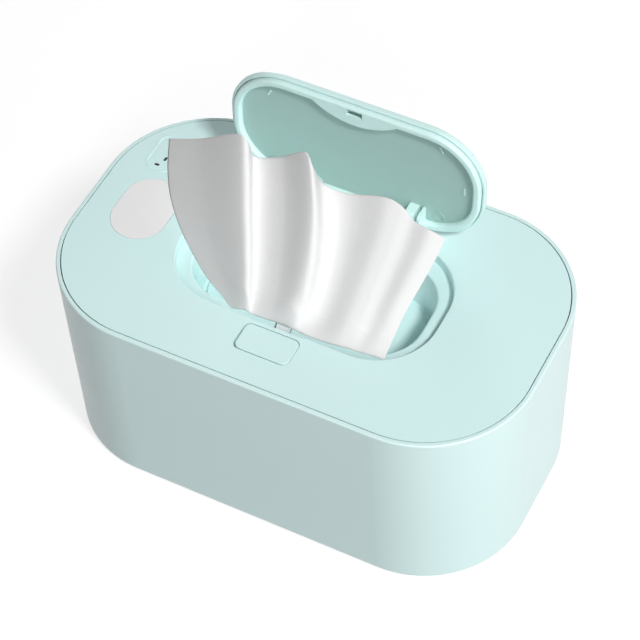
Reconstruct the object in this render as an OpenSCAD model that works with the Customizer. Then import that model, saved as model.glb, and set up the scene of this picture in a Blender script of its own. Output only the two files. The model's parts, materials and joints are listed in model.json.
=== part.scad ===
// Baby wipe warmer: a rounded case with a heated tub, a lift-off top cover with a deep
// dispensing well, a touch display, and a sprung flip lid held by a push-button latch.
// Frame: millimetres, +X along the case to the right, +Y to the rear, +Z up. The origin is
// the centre of the footprint, on the surface that the rubber feet stand on.

/* [Case] */
// Length of the case along X, at its top edge
body_l = 230; // [224:1:240]
// Width of the case along Y, at its top edge
body_w = 139; // [136:1:145]
// Height of the case above the surface it stands on
body_h = 106; // [102:1:112]
// Radius of the case's upright corners, at the top edge
corner_r = 52; // [50:1:54]
// How far each side leans in from the top edge to the bottom
draft = 1.8; // [0.5:0.1:2.4]
// Thickness of the case's wall
wall = 2.4; // [2:0.1:2.8]
// Width of the rim that frames the top cover
rim_w = 2; // [1.6:0.1:2.2]
// How far the rubber feet stand out below the case
foot_out = 1; // [0.6:0.1:1.5]

/* [Tub] */
// Length of the tub's inside, for a pack of wipes laid flat
tub_l = 204; // [200:1:206]
// Width of the tub's inside
tub_w = 115; // [112:1:117]
// Height of the tub's floor above the surface
tub_floor = 22; // [21:1:24]
// Thickness of the tub's wall and floor
tub_t = 1.8; // [1.4:0.1:2]

/* [Top cover] */
// Gap between the cover's edge and the case's rim
seam = 0.5; // [0.3:0.1:0.6]
// Thickness of the cover's top plate
cover_t = 2.6; // [2.4:0.1:2.8]
// Length of the lid's recess in the cover
recess_l = 126.4; // [124:0.2:130]
// Width of the lid's recess
recess_w = 68.8; // [67:0.2:70]
// Corner radius of the lid's recess
recess_r = 28.5; // [27:0.5:30]
// Depth of the ledge that the lid closes over
ledge_d = 5.4; // [5:0.1:6]
// Width of that ledge
ledge_w = 7.3; // [7:0.1:8]
// Depth of the dispensing well, from the top of the cover to its floor
well_d = 26; // [24:1:28]
// Length of the slot that the wipes come out of
slot_l = 74; // [70:1:90]
// Width of that slot
slot_w = 16; // [14:1:18]

/* [Flip lid] */
// Depth of the lid, from its hinged edge to its free edge
lid_w = 63; // [60:0.5:63]
// Gap between the lid and the recess at the ends and at the front
lid_gap = 0.5; // [0.4:0.1:0.8]
// Angle between the closed lid and the open lid
open_angle = 92.4; // [85:0.1:95]
// Distance of the hinge pins behind the cover's centre line
hinge_y = 38.6; // [38:0.1:39]
// Depth of the hinge pins below the top of the cover
hinge_d = 6.9; // [6.6:0.1:7]
// Distance of each hinge arm from the middle of the lid
arm_x = 30.8; // [28:0.1:34]
// Radius of the hinge pins
pin_r = 1.25; // [1:0.05:1.4]

/* [Controls] */
// Length of the push button
button_l = 26.4; // [24:0.2:27]
// Width of the push button
button_w = 14.4; // [13:0.2:15]
// Distance of the button's centre in front of the cover's centre line
button_y = 44.6; // [44.4:0.1:45]
// How far the button travels
button_travel = 1.2; // [1:0.1:1.2]
// Length of the display window, front to back
window_l = 37.2; // [34:0.2:40]
// Width of the display window
window_w = 26.6; // [24:0.2:28]
// Distance of the display window to the left of the middle
window_x = 86.7; // [86:0.1:88]

/* [Wipe] */
// Thickness of the wipe's sheet
wipe_t = 0.8; // [0.6:0.1:1]

/* [Hidden] */
$fn = 64;

// Colours of the real materials
mint = [0.79, 0.90, 0.89];
mint_inside = [0.72, 0.86, 0.84];
pale_grey = [0.86, 0.86, 0.87];
dark_plastic = [0.08, 0.10, 0.10];
silicone = [0.90, 0.92, 0.91];
rubber = [0.25, 0.27, 0.27];
steel = [0.75, 0.76, 0.78];
aluminium = [0.80, 0.81, 0.83];
copper_film = [0.80, 0.48, 0.18];
foam = [0.93, 0.93, 0.90];
board_green = [0.10, 0.38, 0.22];
gold = [0.85, 0.68, 0.30];
tissue = [0.95, 0.95, 0.95];

// Upright corners: the middle of each corner's arc, measured from the case's centre
body_cx = body_l / 2 - corner_r;
body_cy = body_w / 2 - corner_r;
base_z = foot_out;                     // bottom of the case
rim_r = corner_r - rim_w;              // inside of the rim, from the corner's middle
edge_round = 0.8;                      // rounding of the rim's outer edge
flange_top = body_h - 8;               // top of the tub's flange
flange_t = 2;
shelf_top = flange_top - flange_t;     // the case's shelf carries the flange
shelf_t = 2.4;
shelf_r = 46;                          // inner edge of the shelf
flange_r = 49;                         // outer edge of the tub's flange

// Outside radius of the case at height z, from the corner's middle
function case_r(z) = corner_r - draft * (body_h - z) / (body_h - base_z);

// Base plate and what stands on it
plate_t = 2.4;
plate_top = base_z + plate_t;
plate_gap = 0.3;
plate_r = case_r(base_z) - wall - plate_gap;
foot_r = 7;
foot_x = 78;
foot_y = 42;
foot_seat = 1;                         // depth of the pocket that each foot sits in
foot_spots = [for (sx = [-1, 1], sy = [-1, 1]) [sx * foot_x, sy * foot_y]];
base_screw_r = 43;                     // from the corner's middle
base_screw_spots = [for (sx = [-1, 1], sy = [-1, 1])
    [sx * (body_cx + base_screw_r * cos(45)), sy * (body_cy + base_screw_r * cos(45))]];
base_boss_top = 17;
tub_screw_spots = [for (sx = [-1, 1], sy = [-1, 1])
    [sx * (body_cx + 33.4), sy * (body_cy + 33.4)]];
boss_r = 3.2;
screw_r = 1.3;
screw_head_r = 2.5;
screw_head_h = 1.6;
pilot_r = 1.3;

// Heater stack below the tub's floor, from the top down
stack_l = 180;
stack_w = 96;
stack_r = 24;
tub_bottom = tub_floor - tub_t;
spreader_t = 0.8;
film_t = 0.6;
pad_t = 3;
film_top = tub_bottom - spreader_t;
pad_top = film_top - film_t;
pad_bottom = pad_top - pad_t;
sensor_spot = [46, -16];
fuse_spot = [-46, -16];
post_spots = [for (sx = [-1, 1], sy = [-1, 1]) [sx * 70, sy * 22]];

// Control board, with the power inlet on its rear edge
board_l = 64;
board_w = 34;
board_t = 1.6;
board_x = 46;
board_y = 46;
board_z = plate_top + 3.6;
board_top = board_z + board_t;
board_screw_spots = [for (sx = [-1, 1], sy = [-1, 1])
    [board_x + sx * (board_l / 2 - 4), board_y + sy * (board_w / 2 - 4)]];
inlet_x = 46;
inlet_l = 9;
inlet_h = 3.3;
inlet_depth = 7.4;
inlet_z = board_top + inlet_h / 2;
inlet_face = body_w / 2 - 2.6;         // open end of the socket
bezel_l = 14;
bezel_h = 7.6;

// Tub
tub_r = 42;
tub_out_r = tub_r + tub_t;

// Spring contacts between the case and the cover, on the left
contact_x = -110.4;
contact_w = 22;
contact_l = 4;
contact_pin_r = 0.8;
contact_spots = [for (i = [-1.5:1:1.5]) i * 4];

// Top cover
cover_top = body_h;
plate_under = cover_top - cover_t;
cover_r = rim_r - seam;
skirt_out = 44.4;                      // skirt that stands on the gasket
skirt_in = 42.4;
gasket_t = 1;
liner_out_l = 201.6;                   // inner cover below the top plate
liner_out_w = 112.6;
liner_r = 41;
liner_t = 1.6;
liner_z = body_h - 17;
recess_cx = recess_l / 2 - recess_r;
recess_cy = recess_w / 2 - recess_r;
ledge_z = cover_top - ledge_d;
ledge_t = 2;
recess_wall = 2;
well_top_r = recess_r - ledge_w;
well_draft = 2.6;
well_floor = cover_top - well_d;
well_bottom_r = well_top_r - well_draft;
well_wall = 1.8;
liner_bosses = [for (sx = [-1, 1], sy = [-1, 0, 1]) [sx * (sy == 0 ? 72 : 66), sy * 46]];
liner_bosses_ok = [for (p = liner_bosses) if (abs(p[1]) > 1) p];

// Dispensing plate
dome_h = 1.6;                          // rise of the plate towards its slot
dome_edge = 0.6;                       // height of its rim
dp_r = well_bottom_r - 2.8;
dp_t = 1.6;

// Hinge
hinge_z = cover_top - hinge_d;
arm_w = 7.6;                           // both leaves of one arm and the slit between them
arm_block = 4.6;
arm_fin = 1.2;
eye_r = 3;
arm_under = 3.1;                       // underside of the arm, below the pin
arm_over = 1.8;                        // top of the arm, above the pin
arm_reach = 22.6;                      // front of the arm, from the pin
arm_clear = 0.5;
pin_clear = 0.05;                      // running clearance round the hinge pin
hinge_cheek = 2.6;                     // wall on each side of the arm
notch_back = hinge_y + 2.3;            // the open arm stops against this edge
bridge_front = hinge_y - 7.2;          // strip of the cover behind the closed lid
pocket_back = hinge_y + eye_r + 0.6;
pocket_floor = hinge_z - arm_under - 0.8;

// Flip lid, described closed; open_lid() swings it to its open place
lid_y = -recess_w / 2 + lid_gap + lid_w / 2;
lid_r = recess_r - lid_gap;
lid_cx = recess_l / 2 - lid_gap - lid_r;
lid_cy = lid_w / 2 - lid_r;
skin_t = 1.4;
flange_w = 1.2;                        // rim of the skin round the liner
flange_d = 3;
skin_round = 1;
skin_under = cover_top - skin_t;
liner_plate_t = 0.9;
liner_under = skin_under - liner_plate_t;
groove_w = 0.4;                        // open line between the skin's rim and the ring
ring_out = lid_r - flange_w - groove_w;
ring_w = 3.8;
ring_bottom = ledge_z + 0.3;
catch_half = 19.5;                     // half length of the crescent that holds the catch
catch_rise = 6.2;                      // how far the crescent stands in from the ring
catch_r = (catch_half * catch_half + catch_rise * catch_rise) / (2 * catch_rise);
catch_edge = lid_y - lid_cy - ring_out + ring_w;
catch_floor = 1.2;                     // plastic below the catch's pocket

// Latch: the slider's hook holds the crescent's floor
hook_y = -30;
hook_t = 1.2;
hook_w = 6.8;
hook_bite = 1.3;
hook_lean = 1.5;                       // the hook leans to the rear inside the ledge's slot
hook_top = ring_bottom + catch_floor + 1.3;
catch_slot = [7.6, 3.2];
catch_slot_y = hook_y + hook_lean - 0.5;
slider_z = body_h - 11.8;
slider_t = 2.4;
slider_w = 16;
slider_front = -48.5;
button_z = cover_top - 3;
button_flange_t = 1.5;
button_flange_top = plate_under - 0.1;
button_flange_z = button_flange_top - button_flange_t;
button_gap = 0.5;
button_set = [0.15, 0.2];              // the button sits off the middle of its opening
button_r = 3.1;
wedge_foot = 95.6;
wedge_back = -41;
wedge_foot_y = wedge_back - 0.8;
wedge_w = 8;
ramp_gap = 0.25;
ramp_top = 99;
spring_spots = [for (sx = [-1, 1]) [sx * 12.4, -45]];
housing_l = 33.6;
housing_back = -37;
housing_front = -54.3;
housing_t = 1.4;
housing_wall = 1.2;
housing_z = slider_z - 0.2 - housing_t;
latch_screw_spots = [for (sx = [-1, 1]) [sx * 20.6, -49]];

// Display and indicators
window_y = 0.6;
window_t = 1.6;
window_lip = 1.8;
window_gap = 0.15;
display_z = body_h - 7.8;
display_t = 1.6;
display_w = 22;
display_l = 44;
display_screw_spots = [for (sy = [-1, 1]) [-window_x, window_y + sy * (display_l / 2 - 2.6)]];
indicator_spots = [[-95.2, 26.6, 0], [-93.2, 31.2, 90]];
indicator_size = [2.6, 1.4];
field_spot = [-94, 34.5];              // raised outline round the indicators
field_size = [15, 22];
field_line = 0.8;
field_h = 0.25;

module rounded_rect(l, w, r) {
    square([l - 2 * r, w], center = true);
    square([l, w - 2 * r], center = true);
    for (sx = [-1, 1], sy = [-1, 1])
        translate([sx * (l / 2 - r), sy * (w / 2 - r)]) circle(r);
}

module slab(l, w, r, z0, z1) {
    translate([0, 0, z0]) linear_extrude(z1 - z0) rounded_rect(l, w, r);
}

// A rounded slab given by its corners' middles and its radius
module core(cx, cy, r, z0, z1) {
    slab(2 * (cx + r), 2 * (cy + r), r, z0, z1);
}

module core_ring(cx, cy, r_in, r_out, z0, z1) {
    translate([0, 0, z0]) linear_extrude(z1 - z0) difference() {
        rounded_rect(2 * (cx + r_out), 2 * (cy + r_out), r_out);
        rounded_rect(2 * (cx + r_in), 2 * (cy + r_in), r_in);
    }
}

// Sweeps a profile round a rounded rectangle: x is the distance from the corner's middle
module swept_ring(cx, cy) {
    for (a = [0:90:270]) {
        mx = a % 180 == 0 ? cx : cy;
        my = a % 180 == 0 ? cy : cx;
        rotate([0, 0, a]) translate([mx, my, 0]) {
            rotate_extrude(angle = 90) children();
            rotate([90, 0, 0]) linear_extrude(2 * my) children();
        }
    }
}

// Extrudes a profile drawn in Y and Z along X
module along_x(x0, x1) {
    translate([x0, 0, 0]) rotate([90, 0, 90]) linear_extrude(x1 - x0) children();
}

module block(x, y, z) {
    translate([x[0], y[0], z[0]]) cube([x[1] - x[0], y[1] - y[0], z[1] - z[0]]);
}

module rod(p, r, z0, z1) {
    translate([p[0], p[1], z0]) cylinder(h = z1 - z0, r = r);
}

module screw(p, z, up, length) {
    translate([p[0], p[1], z]) mirror([0, 0, up ? 0 : 1]) difference() {
        union() {
            translate([0, 0, -screw_head_h]) cylinder(h = screw_head_h, r = screw_head_r);
            cylinder(h = length, r = screw_r - 0.1);
        }
        translate([0, 0, -screw_head_h - 0.1]) {
            translate([-1.8, -0.3, 0]) cube([3.6, 0.6, 0.9]);
            translate([-0.3, -1.8, 0]) cube([0.6, 3.6, 0.9]);
        }
    }
}

// Points of a coil round Z, from height z0 to z1, starting at angle a0
function coil_path(r, z0, z1, turns, a0 = 0) =
    let (steps = 10 * turns)
    [for (i = [0:steps]) let (a = a0 - 36 * i) [r * cos(a), r * sin(a), z0 + (z1 - z0) * i / steps]];

// One unbroken wire with five sides along a path that never runs along Z
module wire_along(path, r) {
    n = len(path) - 1;
    sides = 5;
    points = [for (i = [0:n])
        let (d = unit(path[min(i + 1, n)] - path[max(i - 1, 0)]), a = unit(cross(d, [0, 0, 1])))
        each [for (k = [0:sides - 1])
            path[i] + r * (cos(72 * k) * a + sin(72 * k) * cross(d, a))]];
    walls = [for (i = [0:n - 1], k = [0:sides - 1])
        let (m = (k + 1) % sides, p = i * sides, q = p + sides)
        each [[p + k, q + k, q + m], [p + k, q + m, p + m]]];
    last = n * sides;
    ends = [for (k = [1:sides - 2])
        each [[0, k, k + 1], [last, last + k + 1, last + k]]];
    polyhedron(points, concat(walls, ends));
}

// A coil spring standing on z = 0
module coil(r, wire, length, turns) {
    wire_along(coil_path(r, wire, length - wire, turns), wire);
}

// Swings what is described closed to the lid's open place
module open_lid() {
    translate([0, hinge_y, hinge_z]) rotate([-open_angle, 0, 0])
        translate([0, -hinge_y, -hinge_z]) children();
}

module stadium(l, w) {
    square([l - w, w], center = true);
    for (s = [-1, 1]) translate([s * (l - w) / 2, 0]) circle(w / 2);
}

// Case -----------------------------------------------------------------------

module body_shell() color(mint) {
    difference() {
        union() {
            swept_ring(body_cx, body_cy) shell_profile();
            for (p = base_screw_spots) {
                rod(p, boss_r, plate_top, base_boss_top);
                translate([p[0], p[1], plate_top]) rotate(atan2(sign(p[1]), sign(p[0])))
                    translate([0, -1, 0]) cube([6, 2, base_boss_top - plate_top]);
            }
        }
        for (p = base_screw_spots) rod(p, pilot_r, plate_top - 1, base_boss_top - 2);
        for (p = tub_screw_spots) rod(p, pilot_r, shelf_top - shelf_t - 1, shelf_top + 1);
        for (y = contact_spots)
            rod([contact_x, y], contact_pin_r + 0.3, shelf_top - 4, shelf_top + 1);
        translate([inlet_x, body_w / 2 - 5, inlet_z]) rotate([-90, 0, 0])
            linear_extrude(6) stadium(bezel_l, bezel_h);
    }
}

module shell_profile() {
    lower_r = case_r(base_z);
    inner_low = lower_r - wall;
    inner_high = case_r(shelf_top) - wall;
    difference() {
        union() {
            polygon([
                [inner_low, base_z], [lower_r - 1, base_z], [lower_r, base_z + 1],
                [corner_r, body_h - edge_round], [corner_r - edge_round, body_h],
                [rim_r, body_h], [rim_r, shelf_top], [shelf_r, shelf_top],
                [shelf_r, shelf_top - shelf_t], [inner_high - 0.1, shelf_top - shelf_t]
            ]);
            translate([corner_r - edge_round, body_h - edge_round]) circle(edge_round);
        }
    }
}

module base_plate() color(mint) {
    difference() {
        union() {
            core(body_cx, body_cy, plate_r, base_z, plate_top);
            for (p = board_screw_spots) rod(p, boss_r, plate_top - 0.1, board_z);
            for (p = post_spots) rod(p, 4, plate_top - 0.1, pad_bottom);
        }
        for (p = foot_spots) rod(p, foot_r + 0.15, base_z - 1, base_z + foot_seat);
        for (p = base_screw_spots) {
            rod(p, screw_r + 0.2, base_z - 1, plate_top + 1);
            rod(p, screw_head_r + 0.4, base_z - 1, base_z + 1.4);
        }
        for (p = board_screw_spots) rod(p, pilot_r, plate_top, board_z + 1);
        for (i = [-5:5])
            translate([i * 7, -8, base_z - 1]) linear_extrude(plate_t + 2)
                rotate(90) stadium(24, 2.4);
    }
}

module rubber_feet() color(rubber) {
    for (p = foot_spots) rod(p, foot_r, 0, base_z + foot_seat);
}

module base_screws() color(steel) {
    for (p = base_screw_spots) screw(p, base_z + 1.4, true, 9);
}

module inner_tub() color(mint_inside) {
    flange_cut = contact_w / 2 + 0.4;
    difference() {
        union() {
            slab(tub_l + 2 * tub_t, tub_w + 2 * tub_t, tub_out_r, tub_bottom, flange_top);
            core(body_cx, body_cy, flange_r, shelf_top, flange_top);
        }
        slab(tub_l, tub_w, tub_r, tub_floor, flange_top + 1);
        block([-120, contact_x + contact_l / 2 + 0.2], [-flange_cut, flange_cut],
            [shelf_top - 1, flange_top + 1]);
        for (p = tub_screw_spots) {
            rod(p, screw_r + 0.15, shelf_top - 1, flange_top + 1);
            rod(p, screw_head_r + 0.3, flange_top - 1.3, flange_top + 1);
        }
    }
}

module tub_screws() color(steel) {
    for (p = tub_screw_spots) {
        rod(p, screw_r - 0.1, shelf_top - 4, flange_top - 1.2);
        rod(p, screw_head_r, flange_top - 1.3, flange_top - 0.2);
    }
}

module stack_layer(z0, z1, inset) {
    difference() {
        slab(stack_l - inset, stack_w - inset, stack_r, z0, z1);
        rod(sensor_spot, 6, z0 - 1, z1 + 1);
        translate([fuse_spot[0], fuse_spot[1], z0 - 1]) linear_extrude(z1 - z0 + 2)
            stadium(20, 8);
    }
}

module heat_spreader() color(aluminium) {
    slab(stack_l, stack_w, stack_r, film_top, tub_bottom);
}

module heater_film() color(copper_film) stack_layer(pad_top, film_top, 4);

module insulation_pad() color(foam) stack_layer(pad_bottom, pad_top, 0);

module temperature_sensor() color(steel) {
    rod(sensor_spot, 4, film_top - 2, film_top);
    rod(sensor_spot, 2.4, film_top - 3.6, film_top - 1.9);
}

module thermal_fuse() color(pale_grey) {
    translate([fuse_spot[0], fuse_spot[1], film_top - 1.8]) rotate([0, 90, 0]) {
        translate([0, 0, -6]) cylinder(h = 12, r = 1.8);
        translate([0, 0, -8.5]) cylinder(h = 17, r = 0.4);
    }
}

// A lead along a path of straight runs, with a ball at each bend
module lead(path, r) {
    for (i = [0:len(path) - 2]) {
        d = path[i + 1] - path[i];
        translate(path[i]) rotate([0, acos(d[2] / norm(d)), atan2(d[1], d[0])])
            cylinder(h = norm(d), r = r);
        if (i > 0) translate(path[i]) sphere(r);
    }
}

// Leads from the board's plug, up through the pad's openings, to the sensor and the fuse
module heater_leads() color(dark_plastic) {
    z = board_top + 1.2;
    x = board_x - 28;
    y = board_y - 5;
    fuse = [fuse_spot[0] + 7.7, fuse_spot[1]];
    lead([[x, y + 2, z], [10, y + 2, z], [10, fuse[1], z], [fuse[0], fuse[1], z],
        [fuse[0], fuse[1], film_top - 2.2]], 0.8);
    lead([[x, y - 2, z], [13, y - 2, z], [13, sensor_spot[1], z],
        [sensor_spot[0], sensor_spot[1], z], [sensor_spot[0], sensor_spot[1], pad_bottom]], 0.8);
}

module control_board() color(board_green) {
    difference() {
        block([board_x - board_l / 2, board_x + board_l / 2],
            [board_y - board_w / 2, board_y + board_w / 2], [board_z, board_top]);
        for (p = board_screw_spots) rod(p, screw_r + 0.2, board_z - 1, board_top + 1);
    }
}

module board_components() color(dark_plastic) {
    block([board_x - 12, board_x - 2], [board_y - 8, board_y + 2], [board_top, board_top + 1.6]);
    block([board_x + 6, board_x + 20], [board_y - 10, board_y - 3], [board_top, board_top + 4.6]);
    block([board_x - 28, board_x - 20], [board_y - 9, board_y - 1], [board_top, board_top + 3.6]);
    for (i = [0:3]) rod([board_x - 16 + i * 8, board_y - 12.5], 1.8, board_top, board_top + 4.8);
    block([board_x + 14, board_x + 22], [board_y + 3, board_y + 9], [board_top, board_top + 2.4]);
}

module board_screws() color(steel) {
    for (p = board_screw_spots) screw(p, board_top, false, 4.4);
}

// A generic flat socket: a metal shell with a contact tongue in it
module power_inlet() color(steel) {
    translate([inlet_x, inlet_face - inlet_depth, inlet_z]) rotate([-90, 0, 0]) difference() {
        linear_extrude(inlet_depth) stadium(inlet_l, inlet_h);
        translate([0, 0, 1]) linear_extrude(inlet_depth) difference() {
            stadium(inlet_l - 0.7, inlet_h - 0.7);
            square([6.6, 0.7], center = true);
        }
    }
}

module inlet_bezel() color(dark_plastic) {
    translate([inlet_x, inlet_face - 1.6, inlet_z]) rotate([-90, 0, 0]) difference() {
        linear_extrude(2.6) stadium(bezel_l - 0.3, bezel_h - 0.3);
        translate([0, 0, -1]) linear_extrude(2.62) stadium(inlet_l + 0.3, inlet_h + 0.3);
        translate([0, 0, 1.6]) linear_extrude(2) stadium(inlet_l + 2.6, inlet_h + 2.6);
    }
}

// Flat cable from the board along the base plate and up the left wall to the contacts
module ribbon_cable() color(pale_grey) {
    t = 0.8;
    y = [board_y - board_w / 2 + 1, board_y - board_w / 2 + 9];
    x_up = -104.6 - t;
    z_run = plate_top + 0.4;
    x_end = board_x - board_l / 2 + 0.7;
    block([x_up, x_end], y, [z_run, z_run + t]);
    block([x_end - t, x_end], y, [z_run, board_z]);
    block([x_up, x_up + t], [-4, y[1]], [z_run, z_run + 8]);
    block([x_up, x_up + t], [-4, 4], [z_run, shelf_top - 8]);
    block([contact_x, x_up + t], [-4, 4], [shelf_top - 8, shelf_top - 8 + t]);
}

module contact_block() color(dark_plastic) {
    difference() {
        block([contact_x - contact_l / 2 + 0.3, contact_x + contact_l / 2 - 0.2],
            [-contact_w / 2, contact_w / 2], [shelf_top, flange_top]);
        for (y = contact_spots) rod([contact_x, y], contact_pin_r, shelf_top - 1, flange_top + 1);
    }
}

module contact_pins() color(gold) {
    for (y = contact_spots) {
        rod([contact_x, y], contact_pin_r, shelf_top - 7.2, pads_z() - 0.8);
        translate([contact_x, y, pads_z() - 0.8]) sphere(contact_pin_r);
    }
}

function pads_z() = flange_top + 2.4;

// Top cover --------------------------------------------------------------------

// Section of the recess, its ledge and the wall of the well, from the corner's middle
module recess_profile() {
    lip = 0.7;
    bend = 1.1;
    difference() {
        union() {
            polygon([
                [recess_r + 3, cover_top], [recess_r + lip, cover_top],
                [recess_r, cover_top - lip], [recess_r, ledge_z], [well_top_r + bend, ledge_z],
                [well_top_r, ledge_z - bend], [well_bottom_r, well_floor - 1],
                [well_bottom_r + well_wall, well_floor - 1],
                [well_top_r + well_wall, ledge_z - ledge_t],
                [recess_r + recess_wall, ledge_z - ledge_t],
                [recess_r + recess_wall, plate_under], [recess_r + 3, plate_under]
            ]);
            translate([recess_r + lip, cover_top - lip]) circle(lip);
            translate([well_top_r + bend, ledge_z - bend]) circle(bend);
        }
    }
}

module hinge_spans() {
    for (s = [-1, 1]) translate([s * arm_x, 0, 0]) children();
}

module hinge_pockets(grow) {
    half = arm_w / 2 + arm_clear;
    hinge_spans() if (grow) {
        block([-half - hinge_cheek, half + hinge_cheek],
            [recess_w / 2 - ledge_w + 1, bridge_front + 1], [pocket_floor - 1.4, ledge_z]);
        block([-half - hinge_cheek, half + hinge_cheek],
            [bridge_front, pocket_back + 1.6], [pocket_floor - 1.4, plate_under]);
    } else {
        block([-half, half], [recess_w / 2 - ledge_w - 6, notch_back],
            [ledge_z - ledge_t - 0.01, cover_top + 1]);
        block([-half, half], [recess_w / 2 - ledge_w - 6, pocket_back],
            [pocket_floor, plate_under]);
    }
}

module top_cover() color(mint) {
    difference() {
        union() {
            difference() {
                union() {
                    core(body_cx, body_cy, cover_r, plate_under, cover_top);
                    core_ring(body_cx, body_cy, skirt_in, skirt_out, flange_top + gasket_t,
                        plate_under);
                }
                core(recess_cx, recess_cy, recess_r + 3, plate_under - 1, cover_top + 1);
            }
            swept_ring(recess_cx, recess_cy) recess_profile();
            // strip of the plate behind the closed lid
            intersection() {
                core(recess_cx, recess_cy, recess_r + 1, ledge_z - 0.5, cover_top);
                block([-42, 42], [bridge_front, recess_w], [ledge_z - 0.5, cover_top]);
            }
            hinge_pockets(true);
            for (p = liner_bosses_ok) rod(p, boss_r, liner_z + liner_t, plate_under + 0.1);
            for (p = latch_screw_spots) rod(p, boss_r, housing_z + housing_t, plate_under + 0.1);
            for (p = display_screw_spots) rod(p, 2.2, display_z + display_t, plate_under + 0.1);
            block([contact_x - 1.7, contact_x + 1.9], [-10.6, 10.6],
                [pads_z() + 1.2, plate_under + 0.1]);
            indicator_field();
        }
        hinge_pockets(false);
        hinge_spans() translate([-20, hinge_y, hinge_z]) rotate([0, 90, 0]) {
            translate([0, 0, 20 - arm_w / 2 - arm_clear - 2]) cylinder(
                h = arm_w + 2 * arm_clear + 4, r = pin_r + 0.02);
        }
        // opening for the push button, and the wider seat of the finger notch
        translate([-button_set[0], -button_y - button_set[1], plate_under - 1])
            linear_extrude(cover_t + 2) rounded_rect(button_l + 2 * button_gap,
                button_w + 2 * button_gap, button_r + button_gap);
        block([-13, 13], [-recess_w / 2 - 0.9, -recess_w / 2 + 1], [cover_top - 1.8, cover_top + 1]);
        // slot in the ledge for the latch's hook
        block([-hook_w / 2 - 0.8, hook_w / 2 + 0.8],
            [hook_y - 2.1, -recess_w / 2 + ledge_w + 0.2], [ledge_z - ledge_t, ledge_z + 1]);
        // seat and opening of the display window
        translate([-window_x, window_y, cover_top - window_t]) linear_extrude(window_t + 1)
            rotate(90) stadium(window_l + 2 * window_gap, window_w + 2 * window_gap);
        translate([-window_x, window_y, plate_under - 1]) linear_extrude(cover_t)
            rotate(90) stadium(window_l - 2 * window_lip, window_w - 2 * window_lip);
        for (p = indicator_spots) translate([p[0], p[1], plate_under - 1]) rotate(p[2])
            linear_extrude(cover_t + 2) stadium(indicator_size[0], indicator_size[1]);
        for (p = liner_bosses_ok) rod(p, pilot_r, liner_z, plate_under - 1);
        for (p = latch_screw_spots) rod(p, pilot_r, housing_z, plate_under - 1);
        for (p = display_screw_spots) rod(p, 0.9, display_z, plate_under - 0.4);
        // gaps in the skirt for the flat cable to the contact pads
        block([contact_x + 1.9, -100], [-5, 5], [plate_under - 1.2, plate_under]);
    }
}

module indicator_field() {
    translate([field_spot[0], field_spot[1], cover_top - 0.1]) linear_extrude(field_h + 0.1)
        difference() {
            rounded_rect(field_size[0], field_size[1], 5);
            rounded_rect(field_size[0] - 2 * field_line, field_size[1] - 2 * field_line, 4.2);
        }
}

module cover_liner() color(mint_inside) {
    clear = 0.6;
    difference() {
        slab(liner_out_l, liner_out_w, liner_r, liner_z, plate_under);
        slab(liner_out_l - 2 * liner_t, liner_out_w - 2 * liner_t, liner_r - liner_t,
            liner_z + liner_t, plate_under + 1);
        core(recess_cx, recess_cy, well_top_r + well_wall + clear, liner_z - 1, liner_z + 3);
        for (p = liner_bosses_ok) {
            rod(p, screw_r + 0.2, liner_z - 1, liner_z + liner_t + 1);
        }
        block([-120, -90], [-5, 5], [plate_under - 1.2, plate_under + 1]);
    }
}

module liner_screws() color(steel) {
    for (p = liner_bosses_ok) screw(p, liner_z, true, 9);
}

module cover_gasket() color(silicone) {
    core_ring(body_cx, body_cy, skirt_in, skirt_out, flange_top, flange_top + gasket_t);
}

// Floor of the well: a shallow dome round the slot, on a flange below the well's wall
module dispensing_plate() color(mint) {
    difference() {
        union() {
            swept_ring(recess_cx, recess_cy) dome_profile();
            block([-recess_cx, recess_cx], [-recess_cy, recess_cy],
                [well_floor, well_floor + dome_h]);
            core(recess_cx, recess_cy, well_bottom_r + well_wall + 1.4, well_floor - 1 - dp_t,
                well_floor - 1);
        }
        translate([0, 0, well_floor - 5]) linear_extrude(10) stadium(slot_l, slot_w);
        // hollow underside of the dome
        translate([0, 0, well_floor - 3]) linear_extrude(2.2) difference() {
            rounded_rect(2 * (recess_cx + dp_r - 2), 2 * (recess_cy + dp_r - 2), dp_r - 2);
            stadium(slot_l + 4, slot_w + 4);
        }
    }
}

module dome_profile() {
    h = dome_h - dome_edge;
    r = (dp_r * dp_r + h * h) / (2 * h);
    intersection() {
        translate([0, well_floor - 1.1]) square([dp_r, dome_h + 2]);
        translate([0, well_floor + dome_h - r]) circle(r, $fn = 400);
    }
}

module slot_ring() color(silicone) {
    translate([0, 0, well_floor - 1 - dp_t]) linear_extrude(dome_h + dp_t + 1.6) difference() {
        stadium(slot_l, slot_w);
        stadium(slot_l - 3, slot_w - 3);
    }
}

module display_window() color(pale_grey) {
    translate([-window_x, window_y, cover_top - window_t]) linear_extrude(window_t)
        rotate(90) stadium(window_l, window_w);
}

module display_board() color(board_green) {
    difference() {
        block([-window_x - display_w / 2, -window_x + display_w / 2],
            [window_y - display_l / 2, window_y + display_l / 2],
            [display_z, display_z + display_t]);
        for (p = display_screw_spots) rod(p, 1.2, display_z - 1, display_z + display_t + 1);
    }
}

module digit_display() color(dark_plastic) {
    block([-window_x - 8, -window_x + 8], [window_y + 1, window_y + 13],
        [display_z + display_t, cover_top - window_t - 0.3]);
}

module touch_spring() color(steel) {
    translate([-window_x, window_y - 9, display_z + display_t])
        coil(3, 0.3, cover_top - window_t - display_z - display_t, 3);
}

module display_screws() color(steel) {
    for (p = display_screw_spots) {
        rod(p, 0.8, display_z - 0.5, display_z + 4.5);
        rod(p, 1.8, display_z - 1.4, display_z);
    }
}

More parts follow.
